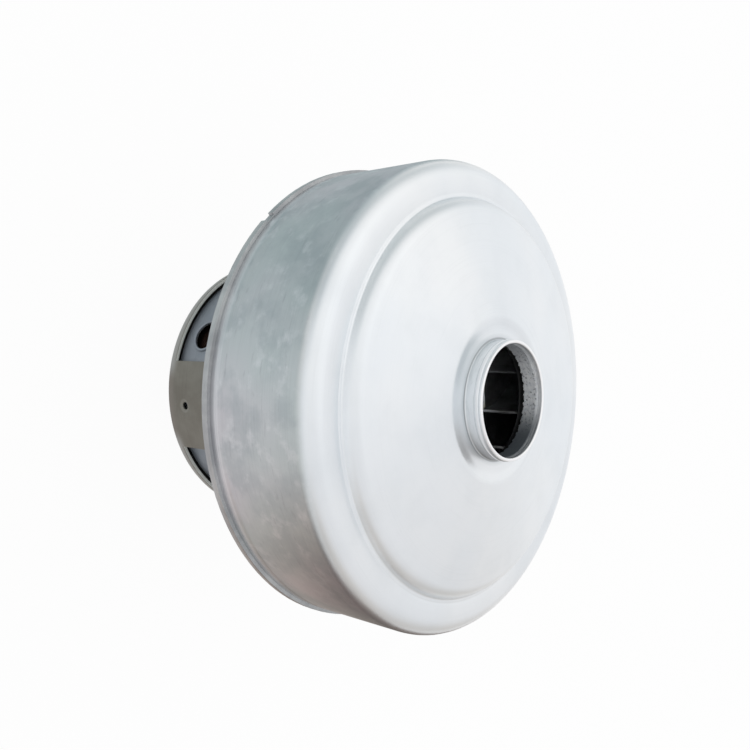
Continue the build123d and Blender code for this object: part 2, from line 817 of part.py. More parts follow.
with BuildPart() as commutator_bars:
    disc(commutator_bottom + commutator_bar_end, commutator_top, commutator_radius,
         commutator_hub_radius)
    disc(commutator_riser_bottom, commutator_top, commutator_riser_radius, commutator_hub_radius)
    with BuildSketch(Plane.XY.offset(commutator_bottom)):
        with PolarLocations((commutator_hub_radius + commutator_riser_radius) / 2,
                            armature_slots, start_angle=180 / armature_slots):
            Rectangle(commutator_riser_radius, commutator_groove)
    extrude(amount=commutator_top - commutator_bottom, mode=Mode.SUBTRACT)
write(commutator_bars.part, "commutator_bars")

# Ball bearings at the front and the rear of the shaft
for end, low in (("front", front_bearing_bottom), ("rear", rear_bearing_bottom)):
    high = low + bearing_width
    middle = low + bearing_width / 2
    with BuildPart() as groove:
        with BuildSketch(Plane.XZ):
            with Locations((bearing_pitch_radius, middle)):
                Circle(ball_radius + ball_gap)
        revolve(axis=Axis.Z)
    with BuildPart() as outer_ring:
        disc(low, high, bearing_radius, outer_ring_shoulder)
        for face_low in (low, high - shield_gap - shield_sheet):
            disc(face_low, face_low + shield_gap + shield_sheet,
                 outer_ring_shoulder + shield_seat_depth, mode=Mode.SUBTRACT)
        add(groove.part, mode=Mode.SUBTRACT)
    write(outer_ring.part, f"{end}_bearing_outer_ring")
    with BuildPart() as inner_ring:
        disc(low, high, inner_ring_shoulder, bearing_bore + press_gap)
        add(groove.part, mode=Mode.SUBTRACT)
    write(inner_ring.part, f"{end}_bearing_inner_ring")
    with BuildPart() as balls:
        with Locations((0, 0, middle)):
            with PolarLocations(bearing_pitch_radius, ball_count):
                Sphere(ball_radius)
    write(balls.part, f"{end}_bearing_balls")
    with BuildPart() as shields:
        for face_low in (low + shield_gap, high - shield_gap - shield_sheet):
            disc(face_low, face_low + shield_sheet,
                 outer_ring_shoulder + shield_seat_depth - press_gap,
                 inner_ring_shoulder + shield_gap)
    write(shields.part, f"{end}_bearing_shields")

with BuildPart() as rear_bearing_cushion:
    disc(body_sheet, rear_bearing_bottom, bearing_radius - boss_bend + body_sheet, cushion_bore)
    fillet(rear_bearing_cushion.edges().filter_by(GeomType.CIRCLE), radius=cushion_round)
write(rear_bearing_cushion.part, "rear_bearing_cushion")

# Brush spring, drawn on the left side
spring_length = cap_face - brush_outer_end - 2 * spring_end_gap - spring_wire
spring_foot = (-brush_outer_end - spring_end_gap - spring_wire / 2, 0, brush_height)
with BuildPart() as left_spring:
    with BuildLine() as coil:
        Helix(pitch=spring_length / spring_turns, height=spring_length, radius=spring_radius,
              center=spring_foot, direction=(-1, 0, 0))
    with BuildSketch(Plane(origin=coil.line @ 0, z_dir=coil.line % 0)):
        Circle(spring_wire / 2)
    sweep(path=coil.line)

# Brush gear: holder, brass tube, carbon brush, spring and cap on each side
ear_heights = (body_bottom - ear_thickness, body_bottom)
tab_middle = ear_screw_radius
tab_slot_half_width = tab_width / 2 + seat_gap
tab_full_length = tab_length + holder_half_depth - tube_half_depth + tube_wall / 2
half_turn = 180
for side_name, side in sides.items():
    with BuildPart() as brush_holder:
        block(outward(side, holder_inner_end, holder_outer_end), across(holder_half_width),
              upright(holder_half_depth))
        fillet(brush_holder.edges().filter_by(Axis.X), radius=holder_round)
        block(outward(side, ear_inner, ear_inner + ear_length), across(ear_reach), ear_heights,
              ear_round)
        block(outward(side, holder_inner_end - overrun, holder_outer_end + overrun),
              across(tube_half_width + seat_gap), upright(tube_half_depth + seat_gap),
              mode=Mode.SUBTRACT)
        block(outward(side, tab_middle - tab_slot_half_width, tab_middle + tab_slot_half_width),
              across(tab_sheet / 2 + seat_gap),
              (brush_height - holder_half_depth - overrun, brush_height), mode=Mode.SUBTRACT)
        with BuildSketch(Plane.XY.offset(ear_heights[0])):
            with Locations(*ear_screw_places):
                Circle(m3_radius + seat_gap)
        extrude(amount=ear_thickness, mode=Mode.SUBTRACT)
    write(brush_holder.part, f"brush_holder_{side_name}")

    with BuildPart() as brush_tube:
        block(outward(side, tube_inner_end, cap_face), across(tube_half_width), upright(tube_half_depth))
        block(outward(side, tube_inner_end - overrun, cap_face + overrun),
              across(brush_half_width + brush_gap), upright(brush_half_depth + brush_gap),
              mode=Mode.SUBTRACT)
        with BuildSketch(Plane.XZ.offset(-tab_sheet / 2)):
            with Locations((side * tab_middle,
                            brush_height - tube_half_depth + tube_wall / 2 - tab_full_length / 2)):
                Rectangle(tab_width, tab_full_length)
        extrude(amount=tab_sheet)
        tab_foot = brush_tube.faces().sort_by(Axis.Z)[0]
        chamfer(tab_foot.edges().filter_by(Axis.Y), length=tab_tip)
    write(brush_tube.part, f"brush_tube_{side_name}")

    with BuildPart() as carbon_brush:
        block(outward(side, commutator_hub_radius, brush_outer_end), across(brush_half_width),
              upright(brush_half_depth))
        outer_face = carbon_brush.faces().filter_by(Axis.X).sort_by(Axis.X)[-1 if side > 0 else 0]
        chamfer(outer_face.edges(), length=brush_chamfer)
        disc(brush_height - brush_half_depth - overrun, brush_height + brush_half_depth + overrun,
             brush_inner_end, mode=Mode.SUBTRACT)
    write(carbon_brush.part, f"carbon_brush_{side_name}")

    with BuildPart() as brush_spring:
        add(left_spring.part, rotation=(0, 0, half_turn if side > 0 else 0))
    write(brush_spring.part, f"brush_spring_{side_name}")

    with BuildPart() as brush_cap:
        block(outward(side, cap_face, holder_outer_end), across(tube_half_width),
              upright(tube_half_depth))
    write(brush_cap.part, f"brush_cap_{side_name}")

with BuildPart() as brush_holder_screws:
    screws(ear_heights[0], -1, ear_screw_places, m3_radius, m3_head_radius, m3_head_height,
           ear_thickness + body_sheet + m3_radius)
write(brush_holder_screws.part, "brush_holder_screws")

# Supply terminals in their block on the rear plate
block_heights = (body_bottom - block_height, body_bottom)
spade_places = [x * spade_spacing / 2 for x in (-1, 1)]
with BuildPart() as terminal_block:
    block((-block_half_width, block_half_width), (block_inner, block_outer), block_heights,
          block_round)
    block((-block_ear_reach, block_ear_reach),
          (block_middle - block_ear_half_length, block_middle + block_ear_half_length), ear_heights,
          ear_round)
    for x in spade_places:
        block((x - spade_width / 2 - press_gap, x + spade_width / 2 + press_gap),
              (block_middle - spade_sheet / 2 - press_gap, block_middle + spade_sheet / 2 + press_gap),
              (block_heights[0], block_heights[0] + spade_root), mode=Mode.SUBTRACT)
    with BuildSketch(Plane.XY.offset(ear_heights[0])):
        with Locations(*block_screw_places):
            Circle(m3_radius + seat_gap)
    extrude(amount=ear_thickness, mode=Mode.SUBTRACT)
write(terminal_block.part, "terminal_block")

with BuildPart() as terminal_block_screws:
    screws(ear_heights[0], -1, block_screw_places, m3_radius, m3_head_radius, m3_head_height,
           ear_thickness + body_sheet + m3_radius)
write(terminal_block_screws.part, "terminal_block_screws")

with BuildPart() as supply_terminals:
    for x in spade_places:
        block((x - spade_width / 2, x + spade_width / 2),
              (block_middle - spade_sheet / 2, block_middle + spade_sheet / 2),
              (block_heights[0] - spade_length, block_heights[0] + spade_root))
    spade_feet = supply_terminals.faces().group_by(Axis.Z)[0]
    chamfer(spade_feet.edges().filter_by(Axis.Y), length=spade_tip)
    with BuildSketch(Plane.XZ.offset(-block_middle - spade_sheet)):
        with Locations(*[(x, block_heights[0] - spade_length / 2) for x in spade_places]):
            Circle(spade_hole)
    extrude(amount=2 * spade_sheet, mode=Mode.SUBTRACT)
write(supply_terminals.part, "supply_terminals")
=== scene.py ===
import json
import math

import bmesh
import bpy
from mathutils import Matrix, Vector


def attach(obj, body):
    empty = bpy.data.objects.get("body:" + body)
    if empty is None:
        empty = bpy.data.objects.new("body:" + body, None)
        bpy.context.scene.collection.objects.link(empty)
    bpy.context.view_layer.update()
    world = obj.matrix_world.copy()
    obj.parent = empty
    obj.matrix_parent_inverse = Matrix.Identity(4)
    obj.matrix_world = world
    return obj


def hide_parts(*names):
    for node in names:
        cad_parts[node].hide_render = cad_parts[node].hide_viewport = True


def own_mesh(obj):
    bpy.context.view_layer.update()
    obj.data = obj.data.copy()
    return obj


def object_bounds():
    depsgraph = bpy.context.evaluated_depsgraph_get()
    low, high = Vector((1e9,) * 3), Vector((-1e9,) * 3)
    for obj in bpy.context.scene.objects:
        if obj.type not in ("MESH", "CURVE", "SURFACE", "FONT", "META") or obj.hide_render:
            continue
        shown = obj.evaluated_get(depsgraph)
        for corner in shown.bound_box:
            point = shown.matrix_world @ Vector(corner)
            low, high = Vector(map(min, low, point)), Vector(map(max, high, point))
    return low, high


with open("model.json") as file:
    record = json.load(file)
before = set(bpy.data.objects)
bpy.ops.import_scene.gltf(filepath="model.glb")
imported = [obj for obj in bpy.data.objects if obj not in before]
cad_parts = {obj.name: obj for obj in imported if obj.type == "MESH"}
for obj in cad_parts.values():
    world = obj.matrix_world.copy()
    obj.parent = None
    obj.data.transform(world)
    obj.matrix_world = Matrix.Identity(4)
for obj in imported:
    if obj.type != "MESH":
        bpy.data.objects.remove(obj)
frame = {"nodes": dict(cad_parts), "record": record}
cad_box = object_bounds()
nodes = frame["nodes"]

# All lengths are metres. The motor axis is Z, the inlet looks up, the rear boss stands on Z = 0
MM = 0.001
full_turn = 2 * math.pi
spin_steps = 360

# What is welded, left out or left uncut as too small, and how near to a level a face has to be
# to lie on it
weld_distance = 0.02 * MM
speck_size = 0.01 * MM
shortest_span = 0.5 * MM
level_reach = 1.0 * MM

# Carried-over pieces: corners this near become one, and so do facets that meet at less than
# this angle in degrees
facet_weld = 0.002 * MM
facet_angle = 0.5

# Fan cover, from the rear rim to the collar: where its pressed sheet turns and how round it bends
cover_sheet = 0.9 * MM
drum_radius = 66.5 * MM
drum_bottom = 72.0 * MM
ring_height = 106.4 * MM
step_foot_radius = 55.9 * MM
step_top_radius = 54.6 * MM
disc_edge_height = 109.7 * MM
lip_radius = 22.9 * MM
lip_height = 114.5 * MM
dish_radius = 20.0 * MM
dish_height = 113.85 * MM
collar_radius = 16.6 * MM
collar_top = 119.0 * MM
cover_bends = [size * MM for size in (5.0, 0.6, 4.6, 4.0, 7.0, 0.5)]
cover_bend_steps = 10
drum_edge_round = 0.1 * MM
collar_edge_round = 0.3 * MM

# Fan cover: rolled bead on the drum, ridge on the collar and groove on the ring, in millimetres
bead_levels = (75.6, 75.8, 76.1, 76.3)
ridge_levels = (117.0, 117.2, 117.75, 117.95)
groove_radii = (56.7, 56.9, 57.1, 57.3)
outward_shifts = {75.8: -0.04, 76.1: -0.04, 117.2: 0.17, 117.75: 0.17}
downward_shifts = {56.9: 0.06, 57.1: 0.06}

# Fan cover: the folded inner ply in the collar; each wave of its torn edge has a size in
# millimetres, a count around the edge and a start
hem_bore = 15.55 * MM
hem_wall = 0.5 * MM
hem_bottom = 113.0 * MM
hem_top = 117.1 * MM
hem_top_slope = 0.1 * MM
tear_zone = 0.1 * MM
tear_waves = ((0.14, 41, 0), (0.1, 73, 1), (0.07, 127, 2))

# Fan: the turn, in degrees, that brings its blades to where the photograph shows them
blade_turn = -3.8

# Motor body, from the boss to the flange, and its air sleeve
body_sheet = 1.2 * MM
body_radius = 42.0 * MM
body_bottom = 19.0 * MM
rim_height = 70.0 * MM
boss_bore = 3.5 * MM
boss_radius = 12.25 * MM
boss_step_height = 8.4 * MM
dome_top_radius = 16.8 * MM
dome_foot_radius = 19.5 * MM
flange_radius = 52.6 * MM
body_bends = [size * MM for size in (1.6, 1.6, 2.0, 2.0, 2.2, 2.0)]
body_bend_steps = 6
body_edge_round = 0.18 * MM
window_bottom = 22.0 * MM
window_step_bottom = 22.6 * MM
window_step_angles = (199, 221)
window_top = 60.0 * MM
window_half_angle = 26
first_window = 45
dimple_height = 28.0 * MM
dimple_bore = 1.1 * MM
dimple_margin = 2.6 * MM
dimple_zone = 4.0 * MM
dimple_rim = ((2.0, 0.0), (1.7, 0.04), (1.2, 0.12), (0.7, 0.2), (0.3, 0.3), (0.08, 0.5),
              (0.0, 1.0))
vent_middle = 29.0 * MM
vent_half_width = 5.5 * MM
vent_half_angle = 16
vent_round = 2.0 * MM
vent_margin = 0.6 * MM
vent_zone_start = 22.0 * MM
vent_zone_end = 36.0 * MM
sleeve_radius = 39.7 * MM
sleeve_wall = 0.7 * MM
sleeve_bottom = 21.85 * MM
sleeve_middle = 50.0 * MM
sleeve_top = rim_height - 0.1 * MM
sleeve_edge_round = 0.12 * MM
sleeve_hole_height = 31.8 * MM
sleeve_hole_angle = 58.5
sleeve_hole_bore = 5.1 * MM
sleeve_hole_margin = 1.4 * MM
sleeve_hole_zone = 8.0 * MM
sleeve_hole_rim = ((0.7, 0.0), (0.4, 0.03), (0.15, 0.18), (0.03, 0.4), (0.0, 0.8))

# Field coils, as squarish loops about the poles whose end turns swell and flare
coil_steps = 128
coil_look_ahead = 0.02
coil_squareness = 8
coil_middle = 48.0 * MM
coil_radius = 28.25 * MM
coil_side_reach = 15.7 * MM
coil_front_reach = 18.0 * MM
coil_rear_reach = 22.7 * MM
coil_half_width = 4.4 * MM
coil_half_depth = 2.2 * MM
coil_swell = 4.7 * MM
coil_swell_start = 15.2 * MM
coil_swell_run = 5.0 * MM
coil_flare = 0.66
coil_narrowing = 0.18
coil_deepening = 0.7
coil_edge_round = 1.2 * MM

# Brush gear
brush_height = 18.0 * MM
brush_slot_half_width = 6.2 * MM
brush_slot_inner = 13.4 * MM
brush_slot_outer = 34.5 * MM
brush_slot_floor = 11.0 * MM
brush_slot_top = 20.0 * MM
brush_slot_zone_start = 8.0 * MM
brush_slot_zone_half_width = 10.0 * MM
brush_outer_end = 25.16 * MM
cap_face = 32.8 * MM
spring_wire = 0.55 * MM
spring_radius = 2.3 * MM
spring_wire_sides = 10
spring_turns = 5
spring_turn_steps = 24

# Camera, found by fitting the photograph's ellipses
camera_place = Vector((-0.0356, -0.1885, 0.2308))
camera_right = Vector((0.0594, 0.6432, 0.7634))
camera_up = Vector((-0.9909, 0.1305, -0.0328))
camera_back = Vector((-0.1207, -0.7545, 0.6451))
camera_lens = 38.52
camera_sensor = 36.0
camera_near = 0.01
camera_far = 20.0

# Lamp and floor
lamp_place = (-0.2, 0.3, 1.1)
lamp_size = 1.0
lamp_power = 0.3
floor_half_size = 3.0


# Shapes
def bent(corners, bends, steps):
    """Rounds the inner corners of a (radius, height) path, each by its own bend."""
    path = [Vector(corners[0])]
    for before, corner, after, bend in zip(corners, corners[1:], corners[2:], bends):
        corner = Vector(corner)
        back = (Vector(before) - corner).normalized()
        ahead = (Vector(after) - corner).normalized()
        half = back.angle(ahead) / 2
        centre = corner + (back + ahead).normalized() * bend / math.sin(half)
        first = corner + back * bend / math.tan(half) - centre
        last = corner + ahead * bend / math.tan(half) - centre
        start = math.atan2(first.y, first.x)
        sweep = math.remainder(math.atan2(last.y, last.x) - start, full_turn)
        for step in range(steps + 1):
            turn = start + sweep * step / steps
            path.append(centre + bend * Vector((math.cos(turn), math.sin(turn))))
    path.append(Vector(corners[-1]))
    return path


def crossed(path, axis, levels):
    """Adds a point to a path wherever it crosses one of the levels along an axis."""
    filled = [path[0]]
    for first, second in zip(path, path[1:]):
        span = second[axis] - first[axis]
        cuts = [(level - first[axis]) / span for level in levels if abs(span) > shortest_span]
        filled += [first.lerp(second, share) for share in sorted(cuts) if 0.001 < share < 0.999]
        filled.append(second)
    return filled


def steps_between(low, high, count):
    """Lists evenly spaced levels, both ends among them."""
    return [low + (high - low) * number / count for number in range(count + 1)]


def turned(path):
    """Spins a rising (radius, height) path about the motor axis into a surface that faces out."""
    shape = bmesh.new()
    line = [shape.verts.new((point[0], 0, point[1])) for point in path]
    for first, second in zip(line, line[1:]):
        shape.edges.new((first, second))
    bmesh.ops.spin(shape, geom=shape.verts[:] + shape.edges[:], cent=(0, 0, 0), axis=(0, 0, 1),
                   dvec=(0, 0, 0), angle=full_turn, steps=spin_steps, use_merge=True)
    bmesh.ops.reverse_faces(shape, faces=shape.faces[:])
    return shape


def thicken(shape, wall):
    """Turns a surface's faces outwards and gives it its sheet thickness on the inside."""
    bmesh.ops.remove_doubles(shape, verts=shape.verts[:], dist=weld_distance)
    bmesh.ops.dissolve_degenerate(shape, dist=speck_size, edges=shape.edges[:])
    bmesh.ops.recalc_face_normals(shape, faces=shape.faces[:])
    outward = sum(face.calc_area() * face.normal.xy.dot(face.calc_center_median().xy)
                  for face in shape.faces)
    if outward < 0:
        bmesh.ops.reverse_faces(shape, faces=shape.faces[:])
    shape.normal_update()
    bmesh.ops.solidify(shape, geom=shape.faces[:], thickness=wall)


def soften(shape, width, segments=2, sharper=60, among=None):
    """Rounds the edges at which two faces meet at more than an angle in degrees."""
    shape.normal_update()
    sharp = [edge for edge in shape.edges
             if len(edge.link_faces) == 2 and edge.calc_face_angle() > math.radians(sharper)
             and (among is None or among(edge))]
    bmesh.ops.bevel(shape, geom=sharp, offset=width, offset_type="OFFSET", segments=segments,
                    profile=0.5, affect="EDGES", clamp_overlap=False, material=-1)


def on_wall(angle, height, radius):
    """Gives the ways to and from a flat drawing of a round wall about a point on it."""
    middle = math.radians(angle)

    def flat(place):
        turn = math.remainder(math.atan2(place.y, place.x) - middle, full_turn)
        return Vector((radius * turn, place.z - height, place.xy.length))

    def wrap(spot):
        turn = middle + spot.x / radius
        return Vector((spot.z * math.cos(turn), spot.z * math.sin(turn), height + spot.y))

    return flat, wrap


def on_plate(angle, radius):
    """Gives the ways to and from a drawing of a flat plate in which the rings lie straight."""
    middle = math.radians(angle)

    def flat(place):
        turn = math.remainder(math.atan2(place.y, place.x) - middle, full_turn)
        return Vector((place.xy.length - radius, radius * turn, place.z))

    def wrap(spot):
        turn = middle + spot.y / radius
        reach = radius + spot.x
        return Vector((reach * math.cos(turn), reach * math.sin(turn), spot.z))

    return flat, wrap


def clear(shape, test):
    """Takes out the faces whose middle passes a test, and gives the edge that is left."""
    gone = [face for face in shape.faces if test(face.calc_center_median())]
    chosen = set(gone)
    rim = [edge for face in gone for edge in face.edges
           if any(other not in chosen for other in edge.link_faces)]
    bmesh.ops.delete(shape, geom=gone, context="FACES")
    return [edge for edge in dict.fromkeys(rim) if edge.is_valid]


def press(shape, way, half, corner, margin, profile):
    """Opens a round-cornered hole in a sheet and draws its rim through (growth, level) steps."""
    flat, wrap = way
    level = profile[0][1]

    def inside(place):
        spot = flat(place)
        near = abs(spot.z - level) < level_reach
        return near and abs(spot.x) < half[0] + margin and abs(spot.y) < half[1] + margin

    rim = clear(shape, inside)
    for growth, level in profile:
        made = bmesh.ops.extrude_edge_only(shape, edges=rim)["geom"]
        for vert in made:
            if isinstance(vert, bmesh.types.BMVert):
                spot = flat(vert.co)
                core = [min(max(value, corner - size), size - corner)
                        for value, size in zip(spot.xy, half)]
                away = (spot.xy - Vector(core)).normalized() * (corner + growth)
                vert.co = wrap(Vector((core[0] + away.x, core[1] + away.y, level)))
        rim = [edge for edge in made if isinstance(edge, bmesh.types.BMEdge)
               and len(edge.link_faces) == 1]


def piece(name, shape, material, slot, body, replaced, smooth=35):
    """Turns a finished shape into a piece that rides on a body and stands for its nodes."""
    shape.normal_update()
    for face in shape.faces:
        face.smooth = True
    for edge in shape.edges:
        if len(edge.link_faces) == 2:
            edge.smooth = edge.calc_face_angle() < math.radians(smooth)
    mesh = bpy.data.meshes.new(name)
    shape.to_mesh(mesh)
    shape.free()
    mesh.materials.append(material)
    made = bpy.data.objects.new(name, mesh)
    bpy.context.scene.collection.objects.link(made)
    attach(made, body)
    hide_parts(*replaced)
    return made


def refined(node, width, body):
    """Replaces a carried-over node by a merged copy whose edges are rounded."""
    slot = node_finish[node]
    shape = bmesh.new()
    shape.from_mesh(nodes[node].data)
    bmesh.ops.remove_doubles(shape, verts=shape.verts[:], dist=facet_weld)
    bmesh.ops.dissolve_limit(shape, angle_limit=math.radians(facet_angle),
                             use_dissolve_boundaries=False, verts=shape.verts[:],
                             edges=shape.edges[:], delimit=set())
    soften(shape, width, sharper=50)
    return piece(f"{node}_finished", shape, finishes[slot], slot, body, [node])


# Materials
class Wire:
    """A node's output, on which sums and products are written as plain expressions."""

    def __init__(self, graph, socket):
        self.graph = graph
        self.socket = socket

    def math(self, operation, first, second):
        return self.graph.node("ShaderNodeMath", {"operation": operation}, {0: first, 1: second})

    def __add__(self, other):
        return self.math("ADD", self, other)

    def __radd__(self, other):
        return self.math("ADD", other, self)

    def __sub__(self, other):
        return self.math("SUBTRACT", self, other)

    def __rsub__(self, other):
        return self.math("SUBTRACT", other, self)

    def __mul__(self, other):
        return self.math("MULTIPLY", self, other)

    def __rmul__(self, other):
        return self.math("MULTIPLY", other, self)

    def __truediv__(self, other):
        return self.math("DIVIDE", self, other)

    def __pow__(self, other):
        return self.math("POWER", self, other)

    def least(self, other):
        """Gives the smaller of two values."""
        return self.math("MINIMUM", self, other)

    def wave(self):
        """Gives the sine of a value."""
        return self.graph.node("ShaderNodeMath", {"operation": "SINE"}, {0: self})

    def size(self):
        """Gives a value without its sign."""
        return self.graph.node("ShaderNodeMath", {"operation": "ABSOLUTE"}, {0: self})

    def rise(self, low, high):
        """Rises softly from 0 to 1 between two values."""
        return self.graph.node("ShaderNodeMapRange", {"interpolation_type": "SMOOTHSTEP"},
                               {"Value": self, "From Min": low, "From Max": high})

    def band(self, low, high, soft):
        """Is 1 between two values and falls softly to 0 outside them."""
        return self.rise(low - soft, low + soft) * (1 - self.rise(high - soft, high + soft))


class Graph:
    """A tree of shader nodes, built node by node."""

    def __init__(self, tree, coordinates="Object"):
        self.tree = tree
        self.coordinates = coordinates
        self.known = {}

    def node(self, kind, settings, inputs, output=0):
        """Adds a node, sets it up, joins or sets its inputs and gives one of its outputs."""
        made = self.tree.nodes.new(kind)
        for name, value in settings.items():
            if name == "stops":
                self.set_stops(made.color_ramp, value)
            else:
                setattr(made, name, value)
        for name, value in inputs.items():
            if isinstance(value, Wire):
                self.tree.links.new(value.socket, made.inputs[name])
            else:
                made.inputs[name].default_value = value
        return Wire(self, made.outputs[output])

    def set_stops(self, ramp, stops):
        """Gives a colour ramp its stops, each a place and a grey level or a colour."""
        while len(ramp.elements) < len(stops):
            ramp.elements.new(1.0)
        for element, (place, shade) in zip(ramp.elements, stops):
            element.position = place
            element.color = shade if isinstance(shade, tuple) else (shade, shade, shade, 1.0)

    def place(self):
        """Gives the coordinates that all patterns of the tree are drawn in."""
        if "place" not in self.known:
            self.known["place"] = self.node("ShaderNodeTexCoord", {}, {}, self.coordinates)
        return self.known["place"]

    def axis(self, name):
        """Gives one coordinate: X, Y or Z."""
        if name not in self.known:
            self.known[name] = self.node("ShaderNodeSeparateXYZ", {}, {0: self.place()}, name)
        return self.known[name]

    def radius(self):
        """Gives the distance from the motor axis."""
        if "radius" not in self.known:
            x, y = self.axis("X"), self.axis("Y")
            self.known["radius"] = (x * x + y * y) ** 0.5
        return self.known["radius"]

    def joined(self, first, second, third):
        """Joins three values into one vector."""
        return self.node("ShaderNodeCombineXYZ", {}, {0: first, 1: second, 2: third})

    def noise(self, size, detail=3.0, roughness=0.5, vector=None):
        """Gives soft noise from 0 to 1 whose blotches are about the given size."""
        return self.node("ShaderNodeTexNoise", {}, {
            "Vector": vector or self.place(),
            "Scale": 1.0 / size,
            "Detail": detail,
            "Roughness": roughness,
        })

    def cells(self, size):
        """Gives a pattern of cells of about the given size."""
        return self.node("ShaderNodeTexVoronoi", {}, {
            "Vector": self.place(),
            "Scale": 1.0 / size,
        })

    def streaks(self, width, length):
        """Gives noise drawn out into lines that run around the motor axis."""
        x, y, z = (self.axis(name) for name in "XYZ")
        return self.noise(1.0, 3.0, 0.6, self.joined(x / length, y / length, z / width))

    def rings(self, width, length):
        """Gives noise drawn out into rings on a face square to the motor axis."""
        x, y = self.axis("X"), self.axis("Y")
        drawn = self.joined(x / length, y / length, self.radius() / width)
        return self.noise(1.0, 3.0, 0.6, drawn)

    def ramp(self, factor, stops):
        """Maps a value through a colour ramp."""
        return self.node("ShaderNodeValToRGB", {"stops": stops}, {"Fac": factor})

    def blend(self, factor, first, second):
        """Mixes two colours by a factor."""
        return self.node("ShaderNodeMix", {"data_type": "RGBA"},
                         {0: factor, 6: first, 7: second}, 2)


class Finish(Graph):
    """One procedural material, built around a principled shader."""

    def __init__(self, name, **uniform):
        self.material = bpy.data.materials.new(name)
        self.material.use_nodes = True
        super().__init__(self.material.node_tree)
        self.shader = self.tree.nodes["Principled BSDF"]
        for socket, value in uniform.items():
            self.shader.inputs[socket.replace("_", " ")].default_value = value
        finishes[name] = self.material

    def feed(self, socket, wire):
        """Joins a varying value to a socket of the shader."""
        self.tree.links.new(wire.socket, self.shader.inputs[socket])

    def relief(self, height, depth, strength=1.0):
        """Feeds a height into the shader's normal, as a relief of the given depth."""
        self.feed("Normal", self.node("ShaderNodeBump", {}, {
            "Height": height,
            "Distance": depth,
            "Strength": strength,
        }))


def rgb(red, green, blue):
    """Gives a colour, written as it shows on a screen from 0 to 255, in linear light."""
    def linear(level):
        share = level / 255
        return share / 12.92 if share <= 0.04045 else ((share + 0.055) / 1.055) ** 2.4

    return (linear(red), linear(green), linear(blue), 1.0)


finishes = {}


